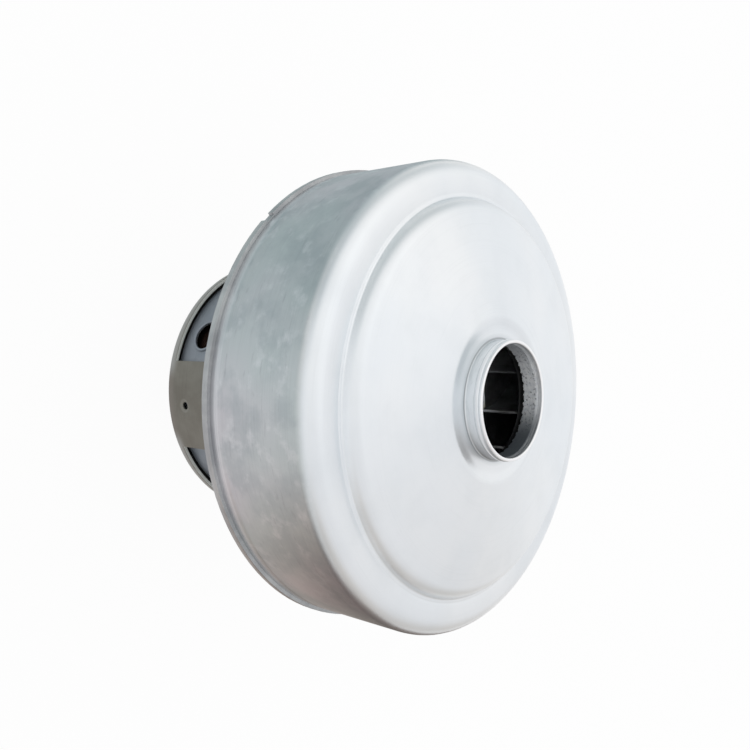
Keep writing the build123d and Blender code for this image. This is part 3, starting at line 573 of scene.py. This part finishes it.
def cover_finish():
    """Bare pressed steel: pale satin face, blotchy drawn side, zinc-coated collar bore, painted
    highlights and shade.
    """
    made = Finish("cover_steel")
    z = made.axis("Z")
    radius = made.radius()
    across = made.axis("X") / radius
    clouds = made.noise(40 * MM, 2.0)
    blotches = made.noise(12 * MM, 5.0, 0.6)
    smudges = made.noise(5 * MM, 4.0, 0.6)
    speckle = made.noise(0.7 * MM, 2.0)
    drawn_lines = made.streaks(0.35 * MM, 20 * MM)
    strokes = made.streaks(1.2 * MM, 6 * MM).rise(0.6, 0.72)
    ring_lines = made.rings(0.5 * MM, 30 * MM)
    scuffs = made.streaks(0.5 * MM, 3 * MM).rise(0.5, 0.65)

    # Face and side, which meet along the drum's rounded edge. The pale face colour reaches onto
    # that edge as a painted highlight, and the side is painted greyer, partly as painted shade
    face = z.rise(101.8 * MM, 104.8 * MM)
    side = 1 - face
    face_colour = made.blend(clouds.rise(0.3, 0.7), rgb(236, 240, 243), rgb(243, 245, 246))
    face_colour = made.blend(0.15 * blotches.rise(0.4, 0.75), face_colour, rgb(214, 219, 222))
    face_colour = made.blend(0.04 * ring_lines.rise(0.5, 0.8), face_colour, rgb(140, 146, 150))
    side_colour = made.blend(clouds.rise(0.35, 0.65), rgb(190, 198, 199), rgb(203, 201, 206))
    side_colour = made.blend(0.6 * blotches.rise(0.42, 0.66), side_colour, rgb(170, 178, 182))
    side_colour = made.blend(0.6 * smudges.rise(0.5, 0.74), side_colour, rgb(218, 220, 223))
    side_colour = made.blend(0.2 * strokes, side_colour, rgb(130, 130, 140))
    side_colour = made.blend(0.1 * drawn_lines.rise(0.45, 0.75), side_colour, rgb(120, 120, 122))
    worn = z.band(drum_bottom, 74.6 * MM, 1.0 * MM)
    lines = made.streaks(0.22 * MM, 40 * MM).rise(0.45, 0.62)
    side_colour = made.blend(worn * (0.3 + 0.5 * lines), side_colour, rgb(232, 233, 236))
    colour = made.blend(face, side_colour, face_colour)

    # Collar: painted shade about its base, scuffs, two painted shade lines, painted shade on its
    # +X side, and painted highlights on the ridge and the edge
    collar = (1 - radius.rise(17.0 * MM, 17.2 * MM)) * z.rise(113.9 * MM, 114.1 * MM)
    # Painted shade: two thin dark lines just below and just above the collar's ridge
    lower_shade_line = z.band(116.62 * MM, 116.72 * MM, 0.1 * MM)
    upper_shade_line = z.band(118.12 * MM, 118.2 * MM, 0.08 * MM)
    shade_lines = lower_shade_line + upper_shade_line
    # Painted shade: darker rings in the dish and in the fillet about the collar's base
    painted_fillet_shade = radius.band(16.7 * MM, 17.2 * MM, 0.25 * MM)
    painted_fillet_shade = painted_fillet_shade * z.band(113.2 * MM, 114.0 * MM, 0.08 * MM)
    painted_base_shade = radius.band(16.7 * MM, 17.8 * MM, 0.9 * MM)
    painted_base_shade = painted_base_shade * z.band(113.2 * MM, 114.2 * MM, 0.1 * MM)
    colour = made.blend(0.25 * painted_base_shade, colour, rgb(150, 156, 160))
    colour = made.blend(0.6 * painted_fillet_shade, colour, rgb(110, 116, 120))
    colour = made.blend(0.15 * collar * scuffs, colour, rgb(170, 176, 180))
    colour = made.blend(0.6 * collar * shade_lines, colour, rgb(130, 136, 140))
    # Painted shade: the collar darker on its +X side
    colour = made.blend(0.7 * collar * across.rise(0.2, 0.9), colour, rgb(120, 120, 122))
    # Painted highlight: the collar's ridge painted near white
    ridge = z.band(117.2 * MM, 117.75 * MM, 0.1 * MM)
    colour = made.blend(0.8 * collar * ridge, colour, rgb(250, 250, 251))
    # Painted highlight: the collar's rolled edge painted white
    lip = z.rise(118.45 * MM, 118.75 * MM)
    colour = made.blend(lip, colour, rgb(253, 253, 253))

    # Bore: spangled zinc, scored around and pitted in its lower part, with painted shade: darker
    # at both X sides, darker still towards +X and a dark line under the folded edge
    bore = (1 - radius.rise(15.9 * MM, 16.05 * MM)) * z.rise(108 * MM, 109 * MM) * (1 - lip)
    spangle = made.cells(1.0 * MM)
    pits = made.noise(0.8 * MM, 3.0, 0.6).rise(0.55, 0.66)
    scored = made.streaks(0.3 * MM, 9 * MM)
    zinc = made.blend(spangle.rise(0.0, 0.8), rgb(222, 226, 231), rgb(243, 245, 246))
    zinc = made.blend(0.4 * scored.rise(0.4, 0.8), zinc, rgb(140, 145, 150))
    # Painted shade on the bore's sides and under its folded edge
    zinc = made.blend(0.6 * across.size().rise(0.35, 0.95), zinc, rgb(104, 112, 120))
    zinc = made.blend(0.9 * across.rise(0.1, 0.8), zinc, rgb(64, 72, 78))
    zinc = made.blend(0.6 * z.band(118.2 * MM, 118.35 * MM, 0.1 * MM), zinc, rgb(84, 88, 92))
    low = 1 - z.rise(116.9 * MM, 117.2 * MM)
    zinc = made.blend(0.65 * pits * low, zinc, rgb(84, 88, 96))
    zinc = made.blend(0.5 * (1 - low) * scored.rise(0.35, 0.65), zinc, rgb(212, 214, 216))
    colour = made.blend(bore, colour, zinc)

    made.feed("Base Color", colour)
    made.feed("Metallic", 1 - 0.75 * bore)
    rough = 0.28 + 0.08 * blotches + 0.05 * speckle + 0.04 * side
    made.feed("Roughness", rough + 0.15 * bore)
    height = 0.35 * speckle + 0.5 * drawn_lines * side + 0.25 * ring_lines * face
    made.relief(height + bore * low * (0.9 * pits + 0.5 * scored), 0.03 * MM, 0.6)


def body_finish():
    """Zinc-coated can: dull brownish posts, painted highlights on rear and cut edges, painted
    shade inside.
    """
    made = Finish("body_steel")
    z = made.axis("Z")
    radius = made.radius()
    blotches = made.noise(9 * MM, 4.0, 0.6)
    lines = made.streaks(0.4 * MM, 18 * MM)
    colour = made.blend(blotches.rise(0.3, 0.7), rgb(120, 117, 109), rgb(134, 132, 124))
    colour = made.blend(0.2 * lines.rise(0.5, 0.8), colour, rgb(78, 76, 72))

    # Painted highlights on the rear edge and the windows' cut edges, both brighter away from the
    # posts, and painted shade inside
    crosswise = made.axis("X") * made.axis("Y") * 2 / (radius * radius)
    beside = crosswise.size().rise(0.35, 0.6)
    # Painted highlight: the rounded rear edge paler, palest beside the windows
    rear = 1 - z.rise(21.0 * MM, 24.5 * MM)
    colour = made.blend(0.6 * rear, colour, rgb(140, 134, 128))
    colour = made.blend(0.7 * rear * beside, colour, rgb(176, 178, 176))
    # Painted highlight: the windows' cut edges painted pale
    cut = radius.band(40.92 * MM, 41.85 * MM, 0.06 * MM) * z.rise(21.4 * MM, 21.8 * MM)
    cut = cut * (0.12 + 0.88 * beside)
    colour = made.blend(0.85 * cut, colour, rgb(226, 228, 222))
    # Painted shade: the inside of the can painted nearly black
    inner = ((1 - radius.rise(40.84 * MM, 40.95 * MM)) * z.rise(19.6 * MM, 20.0 * MM)
             * radius.rise(21 * MM, 22 * MM))
    colour = made.blend(0.92 * inner, colour, rgb(16, 16, 16))

    made.feed("Base Color", colour)
    made.feed("Metallic", 0.9 - 0.8 * cut - 0.5 * inner)
    made.feed("Roughness", 0.46 + 0.14 * blotches)
    made.relief(0.6 * lines + 0.4 * made.noise(0.6 * MM), 0.03 * MM, 0.6)


def sheet_finish(name, dark, light, rough, line=0.4, metallic=1.0):
    """Zinc-coated sheet with soft blotches, drawing lines and a dull sheen."""
    made = Finish(name, Metallic=metallic)
    blotches = made.noise(9 * MM, 4.0, 0.6)
    spangle = made.cells(2.4 * MM)
    lines = made.streaks(line * MM, 18 * MM)
    colour = made.blend(blotches.rise(0.3, 0.7), dark, light)
    colour = made.blend(0.18 * spangle, colour, dark)
    colour = made.blend(0.22 * lines.rise(0.5, 0.8), colour, rgb(70, 72, 72))
    made.feed("Base Color", colour)
    made.feed("Roughness", rough + 0.14 * blotches)
    made.relief(0.6 * lines + 0.4 * made.noise(0.6 * MM), 0.03 * MM, 0.6)


def fan_finish():
    """Mill-finish aluminium sheet, with painted shade in the fan's neck."""
    made = Finish("fan_aluminium", Metallic=1.0)
    z = made.axis("Z")
    patches = made.noise(7 * MM, 4.0, 0.6)
    rolled = made.noise(1.0, 3.0, 0.6, made.joined(z / (9 * MM), made.axis("X") / (0.3 * MM),
                                                   made.axis("Y") / (6 * MM)))
    colour = made.blend(patches.rise(0.3, 0.7), rgb(184, 186, 188), rgb(212, 214, 216))
    colour = made.blend(0.2 * rolled.rise(0.5, 0.8), colour, rgb(110, 112, 114))
    # Painted shade: the fan's neck painted nearly black
    neck = (1 - made.radius().rise(17.2 * MM, 17.8 * MM)) * z.rise(109 * MM, 110 * MM)
    colour = made.blend(0.95 * neck, colour, rgb(26, 26, 28))
    made.feed("Base Color", colour)
    made.feed("Roughness", 0.3 + 0.14 * patches)
    made.relief(0.6 * rolled + 0.4 * patches, 0.02 * MM, 0.6)


def turned_metal(name, dark, light, rough):
    """Turned or ground metal with fine rings about the axis."""
    made = Finish(name, Metallic=1.0)
    lines = made.rings(0.25 * MM, 8 * MM)
    patches = made.noise(5 * MM, 3.0)
    colour = made.blend(patches.rise(0.3, 0.7), dark, light)
    made.feed("Base Color", made.blend(0.2 * lines, colour, dark))
    made.feed("Roughness", rough + 0.12 * lines)
    made.relief(lines, 0.01 * MM, 0.6)


def moulded(name, dark, light, rough):
    """Moulded plastic, resin, carbon or rubber with a fine grain."""
    made = Finish(name)
    patches = made.noise(7 * MM, 3.0)
    grain = made.noise(0.35 * MM, 2.0)
    made.feed("Base Color", made.blend(patches.rise(0.3, 0.7), dark, light))
    made.feed("Roughness", rough + 0.15 * patches)
    made.relief(grain, 0.03 * MM, 0.5)


def wound(name):
    """Enamelled copper wire side by side; the field coils, further out, have a dark varnish."""
    made = Finish(name, Metallic=0.9)
    spacing = 0.85 * MM
    lay = (made.radius() + made.axis("Z").size() + 0.35 * made.axis("X")) / spacing
    strand = (lay * full_turn).wave() * 0.5 + 0.5
    patches = made.noise(6 * MM, 3.0)
    colour = made.blend(patches.rise(0.3, 0.7), rgb(150, 74, 38), rgb(196, 108, 58))
    colour = made.blend(0.7 * (1 - strand), colour, rgb(60, 26, 14))
    varnish = made.radius().rise(22 * MM, 24 * MM)
    made.feed("Base Color", made.blend(0.94 * varnish, colour, rgb(36, 33, 31)))
    made.feed("Roughness", 0.3 + 0.2 * patches)
    made.relief(strand, 0.25 * MM)


def stacked(name):
    """Stacked laminations, seen as thin lines across the axis."""
    made = Finish(name, Metallic=0.8)
    lines = (made.axis("Z") * (full_turn / (0.6 * MM))).wave() * 0.5 + 0.5
    rust = made.noise(4 * MM, 4.0, 0.6)
    colour = made.blend(rust.rise(0.45, 0.75), rgb(98, 99, 102), rgb(104, 86, 72))
    made.feed("Base Color", made.blend(0.4 * (1 - lines), colour, rgb(46, 46, 48)))
    made.feed("Roughness", 0.5 + 0.2 * rust)
    made.relief(lines, 0.08 * MM)


cover_finish()
sheet_finish("bracket_steel", rgb(168, 170, 172), rgb(200, 202, 202), 0.38)
body_finish()
sheet_finish("sleeve_steel", rgb(132, 140, 148), rgb(150, 156, 164), 0.45, metallic=0.6)
fan_finish()
sheet_finish("fastener_steel", rgb(186, 186, 178), rgb(214, 212, 200), 0.3, 0.2)
turned_metal("shaft_steel", rgb(176, 178, 180), rgb(204, 205, 206), 0.22)
turned_metal("bearing_steel", rgb(190, 192, 194), rgb(222, 223, 225), 0.16)
turned_metal("commutator_copper", rgb(176, 104, 70), rgb(214, 140, 98), 0.26)
turned_metal("terminal_brass", rgb(196, 168, 100), rgb(222, 198, 134), 0.28)
turned_metal("spring_steel", rgb(150, 150, 150), rgb(196, 196, 196), 0.3)
moulded("diffuser_plastic", rgb(28, 28, 29), rgb(38, 38, 40), 0.45)
moulded("insulator_plastic", rgb(214, 206, 184), rgb(228, 222, 204), 0.4)
moulded("commutator_resin", rgb(58, 38, 28), rgb(78, 54, 40), 0.4)
moulded("brush_carbon", rgb(34, 34, 36), rgb(52, 52, 54), 0.5)
moulded("holder_plastic", rgb(26, 26, 28), rgb(38, 38, 41), 0.42)
moulded("cushion_rubber", rgb(22, 22, 22), rgb(34, 33, 32), 0.7)
wound("winding_copper")
stacked("lamination_steel")

node_finish = {row["node"]: row["material_slot"] for row in frame["record"]["subparts"]}
for node, slot in node_finish.items():
    nodes[node].data.materials.clear()
    nodes[node].data.materials.append(finishes[slot])

# Fan cover
cover_corners = [
    (drum_radius, drum_bottom),
    (drum_radius, ring_height),
    (step_foot_radius, ring_height),
    (step_top_radius, disc_edge_height),
    (lip_radius, lip_height),
    (dish_radius, dish_height),
    (collar_radius, dish_height),
    (collar_radius, collar_top),
]
cover_path = bent(cover_corners, cover_bends, cover_bend_steps)
cover_path = crossed(cover_path, 1, [level * MM for level in bead_levels + ridge_levels])
cover_path = crossed(cover_path, 0, [radius * MM for radius in groove_radii])
for point in cover_path:
    radius, height = round(point.x / MM, 3), round(point.y / MM, 3)
    point.x += outward_shifts.get(height, 0) * MM
    point.y -= downward_shifts.get(radius, 0) * MM
cover = turned(cover_path)
thicken(cover, cover_sheet)
soften(cover, collar_edge_round, 3,
       among=lambda edge: min(vert.co.z for vert in edge.verts) > collar_top - MM)
soften(cover, drum_edge_round,
       among=lambda edge: max(vert.co.z for vert in edge.verts) < drum_bottom + MM)

# The collar's edge is folded inwards: its inner ply runs down the bore to a torn edge
ply = [cover.verts.new((radius, 0, height)) for radius, height in
       ((hem_bore, hem_bottom), (hem_bore + hem_wall, hem_bottom),
        (hem_bore + hem_wall, hem_top), (hem_bore, hem_top - hem_top_slope))]
ply_edges = [cover.edges.new((ply[number - 1], ply[number])) for number in range(4)]
known = set(cover.faces)
bmesh.ops.spin(cover, geom=ply + ply_edges, cent=(0, 0, 0), axis=(0, 0, 1), dvec=(0, 0, 0),
               angle=full_turn, steps=spin_steps, use_merge=True)
ply_faces = [face for face in cover.faces if face not in known]
bmesh.ops.recalc_face_normals(cover, faces=ply_faces)
for vert in {vert for face in ply_faces for vert in face.verts}:
    if vert.co.z < hem_bottom + tear_zone:
        turn = math.atan2(vert.co.y, vert.co.x)
        vert.co.z += sum(size * math.sin(count * turn + start)
                         for size, count, start in tear_waves) * MM
piece("fan_cover_pressed", cover, finishes["cover_steel"], "cover_steel", "housing",
      ["fan_cover"])

# Motor body: turned sheet with windows, vents, dimples and slots for the brush holders
body_corners = [
    (boss_bore, 0),
    (boss_radius, 0),
    (boss_radius, boss_step_height),
    (dome_top_radius, boss_step_height),
    (dome_foot_radius, body_bottom),
    (body_radius, body_bottom),
    (body_radius, rim_height - body_sheet),
    (flange_radius, rim_height - body_sheet),
]
body_path = bent(body_corners, body_bends, body_bend_steps)
body_path = crossed(body_path, 1, [window_step_bottom, window_top] + steps_between(
    dimple_height - dimple_zone, dimple_height + dimple_zone, 10))
body_path = crossed(body_path, 0, steps_between(vent_zone_start, vent_zone_end, 14))
body = turned(body_path)
half_window = body_radius * math.radians(window_half_angle)
for number in range(4):
    middle = first_window + 90 * number
    flat = on_wall(middle, 0, body_radius)[0]

    def in_window(place):
        spot = flat(place)
        turn = math.degrees(math.atan2(place.y, place.x)) % 360
        stepped = window_step_angles[0] < turn < window_step_angles[1]
        low = window_step_bottom if stepped else window_bottom
        near = abs(spot.z - body_radius) < level_reach
        return near and abs(spot.x) < half_window and low < place.z < window_top

    clear(body, in_window)
    press(body, on_plate(middle, vent_middle),
          (vent_half_width, vent_middle * math.radians(vent_half_angle)), vent_round,
          vent_margin, [(0, body_bottom)])
for angle in (0, 90, 180, 270):
    press(body, on_wall(angle, dimple_height, body_radius), (dimple_bore, dimple_bore),
          dimple_bore, dimple_margin,
          [(growth * MM, body_radius - depth * MM) for growth, depth in dimple_rim])
for side in (1, -1):
    def near_slot(place):
        return (side * place.x > brush_slot_zone_start and place.z < brush_slot_top
                and abs(place.y) < brush_slot_zone_half_width)

    reach = [face for face in body.faces if near_slot(face.calc_center_median())]
    for place, square in (((0, brush_slot_half_width, 0), (0, 1, 0)),
                          ((0, -brush_slot_half_width, 0), (0, 1, 0)),
                          ((side * brush_slot_outer, 0, 0), (1, 0, 0)),
                          ((0, 0, brush_slot_floor), (0, 0, 1))):
        local = dict.fromkeys(item for face in reach if face.is_valid
                              for item in (face, *face.edges, *face.verts))
        cut = bmesh.ops.bisect_plane(body, geom=list(local), plane_co=place, plane_no=square)
        reach = [item for item in cut["geom"] if isinstance(item, bmesh.types.BMFace)]
    clear(body, lambda place: brush_slot_inner < side * place.x < brush_slot_outer
          and abs(place.y) < brush_slot_half_width
          and brush_slot_floor < place.z < brush_slot_top)
thicken(body, body_sheet)
soften(body, body_edge_round)
piece("motor_body_pressed", body, finishes["body_steel"], "body_steel", "housing",
      ["motor_body"])

# Air sleeve with one lipped hole in each window
hole_levels = steps_between(sleeve_hole_height - sleeve_hole_zone,
                            sleeve_hole_height + sleeve_hole_zone, 20)
sleeve_levels = [sleeve_bottom, *hole_levels, sleeve_middle, sleeve_top]
sleeve = turned([Vector((sleeve_radius, height)) for height in sleeve_levels])
for number in range(4):
    press(sleeve, on_wall(sleeve_hole_angle + 90 * number, sleeve_hole_height, sleeve_radius),
          (sleeve_hole_bore, sleeve_hole_bore), sleeve_hole_bore, sleeve_hole_margin,
          [(growth * MM, sleeve_radius + lift * MM) for growth, lift in sleeve_hole_rim])
thicken(sleeve, sleeve_wall)
soften(sleeve, sleeve_edge_round)
piece("air_sleeve_pressed", sleeve, finishes["sleeve_steel"], "sleeve_steel", "housing",
      ["air_sleeve"])


# Field coils
def coil_spot(turn, side):
    """Gives a point on a field coil's middle line, and from 0 to 1 how far its end swells."""
    across, along = math.cos(turn), math.sin(turn)
    size = abs(across) ** coil_squareness + abs(along) ** coil_squareness
    size = size ** (1 / coil_squareness)
    across, along = across / size, along / size
    rise = along * (coil_front_reach if along > 0 else coil_rear_reach)
    swell = min(max((abs(rise) - coil_swell_start) / coil_swell_run, 0.0), 1.0)
    swell = swell * swell * (3 - 2 * swell)
    reach = coil_radius + coil_swell * swell
    sideways = across * coil_side_reach * (1 + coil_flare * swell)
    outwards = side * math.sqrt(reach ** 2 - sideways ** 2)
    return Vector((sideways, outwards, coil_middle + rise)), swell


for name, side in (("front", -1), ("back", 1)):
    coil = bmesh.new()
    rings = []
    for step in range(coil_steps):
        turn = full_turn * step / coil_steps
        spot = coil_spot(turn, side)[0]
        beyond, swell = coil_spot(turn + coil_look_ahead, side)
        outward = Vector((spot.x, spot.y, 0)).normalized()
        ahead = (beyond - spot).normalized()
        flank = ahead.cross(outward).normalized()
        flank *= coil_half_width * (1 - coil_narrowing * swell)
        outward *= coil_half_depth * (1 + coil_deepening * swell)
        place = Matrix((flank, outward, ahead)).transposed().to_4x4()
        place.translation = spot
        square = place @ Matrix.Rotation(full_turn / 8, 4, "Z")
        made = bmesh.ops.create_circle(coil, segments=4, radius=math.sqrt(2), matrix=square)
        rings.append(list(dict.fromkeys(edge for vert in made["verts"]
                                        for edge in vert.link_edges)))
    for first, second in zip(rings, rings[1:] + rings[:1]):
        bmesh.ops.bridge_loops(coil, edges=first + second)
    bmesh.ops.recalc_face_normals(coil, faces=coil.faces[:])
    soften(coil, coil_edge_round, 3)
    piece(f"field_coil_{name}_wound", coil, finishes["winding_copper"], "winding_copper",
          "housing", [f"field_coil_{name}"], smooth=60)

# Carried-over pieces with their edges rounded, each by its own width in millimetres
housing_rounds = {
    "front_bracket": 0.12, "body_screws": 0.25, "diffuser_screws": 0.25,
    "brush_holder_screws": 0.2, "terminal_block_screws": 0.2, "brush_holder_right": 0.3,
    "brush_holder_left": 0.3, "brush_cap_right": 0.25, "brush_cap_left": 0.25,
    "brush_tube_right": 0.12, "brush_tube_left": 0.12, "terminal_block": 0.35,
    "supply_terminals": 0.12,
}
rotor_rounds = {"fan_nut": 0.25, "fan_washer": 0.2, "fan_back_disc": 0.2, "fan_blades": 0.15}
for node, width in housing_rounds.items():
    refined(node, width * MM, "housing")
for node, width in rotor_rounds.items():
    rounded = refined(node, width * MM, "rotor")
    if node == "fan_blades":
        rounded.data.transform(Matrix.Rotation(math.radians(blade_turn), 4, "Z"))

# Brush springs, each coiled from its brush's outer end to its cap's face
for name, side in (("right", 1), ("left", -1)):
    spring = bmesh.new()
    start = brush_outer_end + spring_wire
    length = cap_face - brush_outer_end - 2 * spring_wire
    ring = bmesh.ops.create_circle(spring, segments=spring_wire_sides,
                                   radius=spring_wire / 2)["verts"]
    bmesh.ops.rotate(spring, verts=ring, cent=(0, 0, 0),
                     matrix=Matrix.Rotation(math.pi / 2, 3, "X"))
    bmesh.ops.translate(spring, verts=ring, vec=(spring_radius, 0, 0))
    steps = spring_turn_steps * spring_turns
    bmesh.ops.spin(spring, geom=spring.edges[:], cent=(0, 0, 0), axis=(0, 0, 1),
                   dvec=(0, 0, length / steps), angle=full_turn * spring_turns, steps=steps)
    ends = [edge for edge in spring.edges if len(edge.link_faces) == 1]
    bmesh.ops.holes_fill(spring, edges=ends, sides=spring_wire_sides)
    bmesh.ops.recalc_face_normals(spring, faces=spring.faces[:])
    bmesh.ops.rotate(spring, verts=spring.verts[:], cent=(0, 0, 0),
                     matrix=Matrix.Rotation(math.pi / 2, 3, "Y"))
    if side < 0:
        bmesh.ops.rotate(spring, verts=spring.verts[:], cent=(0, 0, 0),
                         matrix=Matrix.Rotation(math.pi, 3, "Z"))
    bmesh.ops.translate(spring, verts=spring.verts[:], vec=(side * start, 0, brush_height))
    wire = piece(f"brush_spring_{name}_coil", spring, finishes["spring_steel"], "spring_steel",
                 "housing", [f"brush_spring_{name}"])
    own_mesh(wire)

# Stage: one soft square lamp high above the inlet
lamp = bpy.data.lights.new("key_lamp", "AREA")
lamp.shape = "SQUARE"
lamp.size = lamp_size
lamp.energy = lamp_power
lamp_holder = bpy.data.objects.new("key_lamp", lamp)
lamp_holder.location = lamp_place
lamp_holder.rotation_mode = "QUATERNION"
lamp_aim = (cad_box[0] + cad_box[1]) / 2 - Vector(lamp_place)
lamp_holder.rotation_quaternion = lamp_aim.to_track_quat("-Z", "Y")
bpy.context.scene.collection.objects.link(lamp_holder)

# The room: bright above and along Y, greyer towards both ends of X and warmer towards +X
world = bpy.data.worlds.new("studio")
bpy.context.scene.world = world
world.use_nodes = True
room = Graph(world.node_tree, "Generated")
backdrop = world.node_tree.nodes["Background"]
seen = room.node("ShaderNodeLightPath", {}, {}, "Is Camera Ray")
across = room.axis("X").rise(-0.6, 0.6)
above = room.blend(across, rgb(255, 255, 255), rgb(234, 234, 236))
aside = room.blend(across, rgb(196, 203, 205), rgb(204, 199, 194))
front = room.axis("Y").size().rise(0.6, 0.95)
level = room.blend(front, aside, rgb(250, 251, 253))
level = room.blend(room.axis("Z").rise(0.2, 0.65), level, above)
sky = room.blend(seen, level, (1.0, 1.0, 1.0, 1.0))
world.node_tree.links.new(sky.socket, backdrop.inputs["Color"])

# The floor: white with a faint shadow to the camera; in reflections it is pale, cooler towards
# -X, brown towards +X and nearly white far off along Y
floor_mesh = bmesh.new()
bmesh.ops.create_grid(floor_mesh, x_segments=8, y_segments=8, size=floor_half_size)
floor_data = bpy.data.meshes.new("floor")
floor_mesh.to_mesh(floor_data)
floor_mesh.free()
floor = bpy.data.objects.new("floor", floor_data)
bpy.context.scene.collection.objects.link(floor)
paper = Finish("floor_paper", Roughness=0.9)
paper.feed("Base Color", paper.ramp(paper.noise(0.2), [(0.0, 0.86), (1.0, 0.88)]))
floor_data.materials.append(paper.material)
seen = paper.node("ShaderNodeLightPath", {}, {}, "Is Camera Ray")
mirrored = (paper.node("ShaderNodeLightPath", {}, {}, "Is Glossy Ray")
            + paper.node("ShaderNodeLightPath", {}, {}, "Is Transmission Ray"))
across = paper.axis("X").rise(-0.2, 0.2)
tone = paper.ramp(across, [(0.0, rgb(184, 200, 202)), (0.35, rgb(238, 243, 245)),
                           (0.7, rgb(244, 238, 238)), (0.88, rgb(212, 194, 182)),
                           (1.0, rgb(88, 60, 44))])
far = paper.axis("Y").size().rise(0.2, 0.3)
tone = paper.blend(far, tone, rgb(250, 249, 248))
tone = paper.blend(seen, tone, (1.0, 1.0, 1.0, 1.0))
shine = paper.node("ShaderNodeEmission", {}, {"Color": tone, "Strength": 1.0})
mixed = paper.node("ShaderNodeMixShader", {}, {
    0: (0.95 * seen + 0.85 * mirrored).least(1.0),
    1: Wire(paper, paper.shader.outputs[0]),
    2: shine,
})
paper.tree.links.new(mixed.socket, paper.tree.nodes["Material Output"].inputs["Surface"])

camera_data = bpy.data.cameras.new("camera")
camera_data.sensor_width = camera_sensor
camera_data.lens = camera_lens
camera_data.clip_start = camera_near
camera_data.clip_end = camera_far
camera = bpy.data.objects.new("camera", camera_data)
turned_camera = Matrix((camera_right, camera_up, camera_back)).transposed().to_4x4()
camera.matrix_world = Matrix.Translation(camera_place) @ turned_camera
bpy.context.scene.collection.objects.link(camera)
bpy.context.scene.camera = camera
bpy.context.scene.view_settings.view_transform = "Standard"
